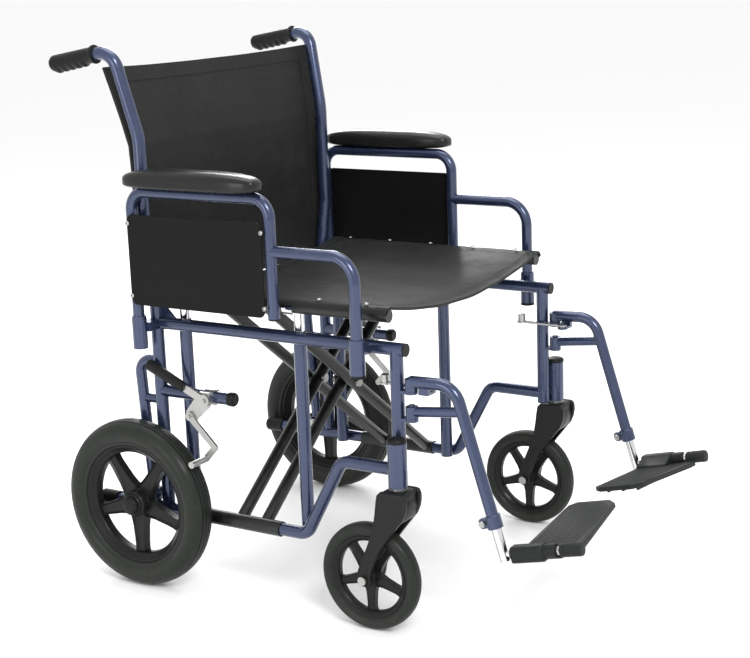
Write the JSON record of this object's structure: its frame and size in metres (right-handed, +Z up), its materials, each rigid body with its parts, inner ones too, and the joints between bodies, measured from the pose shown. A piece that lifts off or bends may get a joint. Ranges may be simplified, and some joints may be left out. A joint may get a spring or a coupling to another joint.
{
  "type": "folding transport wheelchair",
  "caption": "Attendant-pushed folding wheelchair: steel side frames, cross brace, sling seat and back, lift-off armrests, swing-away footrests.",
  "frame": {"origin": "middle of the chair's length and width, on the floor under the wheels", "axes": "+Z up, -Y the way the chair faces, +X towards the occupant's left"},
  "size_m": [0.681, 1.0016, 0.9624],
  "materials": {
    "frame_paint": "metallic blue powder coat, gloss",
    "brace_paint": "black paint, satin",
    "chrome": "bright plate",
    "zinc_steel": "zinc plate",
    "black_plastic": "moulded, satin",
    "wheel_plastic": "moulded nylon, satin",
    "footplate_plastic": "moulded, fine grain",
    "panel_plastic": "flat sheet, satin",
    "grip_rubber": "moulded, satin",
    "tyre": "solid rubber",
    "arm_pad": "skinned foam, glossy",
    "seat_cloth": "black coated nylon weave"
  },
  "bodies": {
    "right_frame": {"side_frame_right": "frame_paint", "back_cane_right": "frame_paint", "frame_plugs_right": "black_plastic", "push_grip_right": "grip_rubber", "rear_axle_right": "zinc_steel", "stem_bearings_right": "zinc_steel", "brake_bracket_right": "zinc_steel", "back_screws_right": "zinc_steel", "back_upholstery": "seat_cloth"},
    "rear_wheel_right": {"rear_tyre_right": "tyre", "rear_wheel_right": "wheel_plastic"},
    "caster_fork_right": {"caster_fork_right": "wheel_plastic", "caster_pins_right": "zinc_steel"},
    "caster_wheel_right": {"caster_tyre_right": "tyre", "caster_wheel_right": "wheel_plastic"},
    "armrest_right": {"arm_tube_right": "frame_paint", "arm_pad_right": "arm_pad", "side_panel_right": "panel_plastic", "arm_screws_right": "zinc_steel"},
    "guide_posts_right": {"guide_posts_right": "chrome", "seat_screws_right": "zinc_steel", "seat_upholstery": "seat_cloth"},
    "hanger_right": {"hanger_right": "frame_paint", "hanger_clamp_right": "zinc_steel"},
    "leg_right": {"leg_tube_right": "chrome"},
    "footplate_right": {"footplate_right": "footplate_plastic"},
    "brake_lever_right": {"brake_lever_right": "zinc_steel", "brake_grip_right": "grip_rubber"},
    "brake_shoe_right": {"brake_shoe_right": "zinc_steel"},
    "release_lever_right": {"release_lever_right": "zinc_steel"},
    "left_frame": {"side_frame_left": "frame_paint", "back_cane_left": "frame_paint", "frame_plugs_left": "black_plastic", "push_grip_left": "grip_rubber", "rear_axle_left": "zinc_steel", "stem_bearings_left": "zinc_steel", "brake_bracket_left": "zinc_steel", "back_screws_left": "zinc_steel"},
    "rear_wheel_left": {"rear_tyre_left": "tyre", "rear_wheel_left": "wheel_plastic"},
    "caster_fork_left": {"caster_fork_left": "wheel_plastic", "caster_pins_left": "zinc_steel"},
    "caster_wheel_left": {"caster_tyre_left": "tyre", "caster_wheel_left": "wheel_plastic"},
    "armrest_left": {"arm_tube_left": "frame_paint", "arm_pad_left": "arm_pad", "side_panel_left": "panel_plastic", "arm_screws_left": "zinc_steel"},
    "guide_posts_left": {"guide_posts_left": "chrome", "seat_screws_left": "zinc_steel"},
    "hanger_left": {"hanger_left": "frame_paint", "hanger_clamp_left": "zinc_steel"},
    "leg_left": {"leg_tube_left": "chrome"},
    "footplate_left": {"footplate_left": "footplate_plastic"},
    "brake_lever_left": {"brake_lever_left": "zinc_steel", "brake_grip_left": "grip_rubber"},
    "brake_shoe_left": {"brake_shoe_left": "zinc_steel"},
    "release_lever_left": {"release_lever_left": "zinc_steel"},
    "cross_inner": {"cross_arm_inner": "brace_paint", "pivot_bolts": "zinc_steel"},
    "cross_outer": {"cross_arm_outer": "brace_paint"}
  },
  "joints": [
    {"name": "fold", "type": "hinge", "parent": "right_frame", "child": "cross_inner", "pos_m": [-0.262, 0.1519, 0.131], "axis": [0, -1, 0], "range_deg": [0, 33], "deforming": ["seat_upholstery", "back_upholstery"]},
    {"name": "brace_pivot", "type": "hinge", "parent": "cross_inner", "child": "cross_outer", "pos_m": [0, 0.1519, 0.3295], "axis": [0, -1, 0], "range_deg": [-66, 0]},
    {"name": "left_frame_fold", "type": "hinge", "parent": "cross_outer", "child": "left_frame", "pos_m": [0.262, 0.1519, 0.131], "axis": [0, -1, 0], "range_deg": [0, 33]},
    {"name": "guide_posts_right_turn", "type": "hinge", "parent": "cross_outer", "child": "guide_posts_right", "pos_m": [-0.262, 0.1519, 0.528], "axis": [0, -1, 0], "range_deg": [0, 33]},
    {"name": "guide_posts_left_turn", "type": "hinge", "parent": "cross_inner", "child": "guide_posts_left", "pos_m": [0.262, 0.1519, 0.528], "axis": [0, -1, 0], "range_deg": [-33, 0]},
    {"name": "rear_wheel_right_spin", "type": "hinge", "parent": "right_frame", "child": "rear_wheel_right", "pos_m": [-0.306, 0.3484, 0.1524], "axis": [1, 0, 0], "continuous": true},
    {"name": "caster_right_swivel", "type": "hinge", "parent": "right_frame", "child": "caster_fork_right", "pos_m": [-0.289, -0.1856, 0.254], "axis": [0, 0, 1], "continuous": true},
    {"name": "caster_wheel_right_spin", "type": "hinge", "parent": "caster_fork_right", "child": "caster_wheel_right", "pos_m": [-0.289, -0.1286, 0.092], "axis": [1, 0, 0], "continuous": true},
    {"name": "armrest_right_lift", "type": "slide", "parent": "right_frame", "child": "armrest_right", "axis": [0, 0, 1], "range_m": [0, 0.06]},
    {"name": "hanger_right_swing", "type": "hinge", "parent": "right_frame", "child": "hanger_right", "pos_m": [-0.262, -0.1996, 0.424], "axis": [0, 0, -1], "range_deg": [0, 90]},
    {"name": "leg_right_length", "type": "slide", "parent": "hanger_right", "child": "leg_right", "axis": [0, -0.2957, -0.9553], "range_m": [0, 0.075]},
    {"name": "footplate_right_flip", "type": "hinge", "parent": "leg_right", "child": "footplate_right", "pos_m": [-0.262, -0.36094, 0.16], "axis": [0, -0.9744, 0.225], "range_deg": [0, 84]},
    {"name": "brake_lever_right", "type": "hinge", "parent": "right_frame", "child": "brake_lever_right", "pos_m": [-0.284, 0.2064, 0.35], "axis": [-1, 0, 0], "range_deg": [0, 28]},
    {"name": "brake_shoe_right", "type": "hinge", "parent": "right_frame", "child": "brake_shoe_right", "pos_m": [-0.284, 0.2404, 0.318], "axis": [1, 0, 0], "range_deg": [0, 5.88]},
    {"name": "release_right", "type": "hinge", "parent": "hanger_right", "child": "release_lever_right", "pos_m": [-0.243, -0.2236, 0.4094], "axis": [0, 0, -1], "range_deg": [0, 14], "stiffness_Nm_per_rad": 0.4},
    {"name": "rear_wheel_left_spin", "type": "hinge", "parent": "left_frame", "child": "rear_wheel_left", "pos_m": [0.306, 0.3484, 0.1524], "axis": [1, 0, 0], "continuous": true},
    {"name": "caster_left_swivel", "type": "hinge", "parent": "left_frame", "child": "caster_fork_left", "pos_m": [0.289, -0.1856, 0.254], "axis": [0, 0, 1], "continuous": true},
    {"name": "caster_wheel_left_spin", "type": "hinge", "parent": "caster_fork_left", "child": "caster_wheel_left", "pos_m": [0.289, -0.1286, 0.092], "axis": [1, 0, 0], "continuous": true},
    {"name": "armrest_left_lift", "type": "slide", "parent": "left_frame", "child": "armrest_left", "axis": [0, 0, 1], "range_m": [0, 0.06]},
    {"name": "hanger_left_swing", "type": "hinge", "parent": "left_frame", "child": "hanger_left", "pos_m": [0.262, -0.1996, 0.424], "axis": [0, 0, 1], "range_deg": [0, 90]},
    {"name": "leg_left_length", "type": "slide", "parent": "hanger_left", "child": "leg_left", "axis": [0, -0.2957, -0.9553], "range_m": [0, 0.075]},
    {"name": "footplate_left_flip", "type": "hinge", "parent": "leg_left", "child": "footplate_left", "pos_m": [0.262, -0.36094, 0.16], "axis": [0, 0.9744, -0.225], "range_deg": [0, 84]},
    {"name": "brake_lever_left", "type": "hinge", "parent": "left_frame", "child": "brake_lever_left", "pos_m": [0.284, 0.2064, 0.35], "axis": [-1, 0, 0], "range_deg": [0, 28]},
    {"name": "brake_shoe_left", "type": "hinge", "parent": "left_frame", "child": "brake_shoe_left", "pos_m": [0.284, 0.2404, 0.318], "axis": [1, 0, 0], "range_deg": [0, 5.88]},
    {"name": "release_left", "type": "hinge", "parent": "hanger_left", "child": "release_lever_left", "pos_m": [0.243, -0.2236, 0.4094], "axis": [0, 0, 1], "range_deg": [0, 14], "stiffness_Nm_per_rad": 0.4}
  ],
  "couplings": [
    {"joint": "brace_pivot", "follows": "fold", "ratio": -2},
    {"joint": "left_frame_fold", "follows": "fold", "ratio": 1},
    {"joint": "guide_posts_right_turn", "follows": "fold", "ratio": 1},
    {"joint": "guide_posts_left_turn", "follows": "fold", "ratio": -1},
    {"joint": "footplate_right_flip", "follows": "fold", "ratio": 2.5455},
    {"joint": "brake_shoe_right", "follows": "brake_lever_right", "ratio": 0.2099},
    {"joint": "footplate_left_flip", "follows": "fold", "ratio": 2.5455},
    {"joint": "brake_shoe_left", "follows": "brake_lever_left", "ratio": 0.2099}
  ]
}
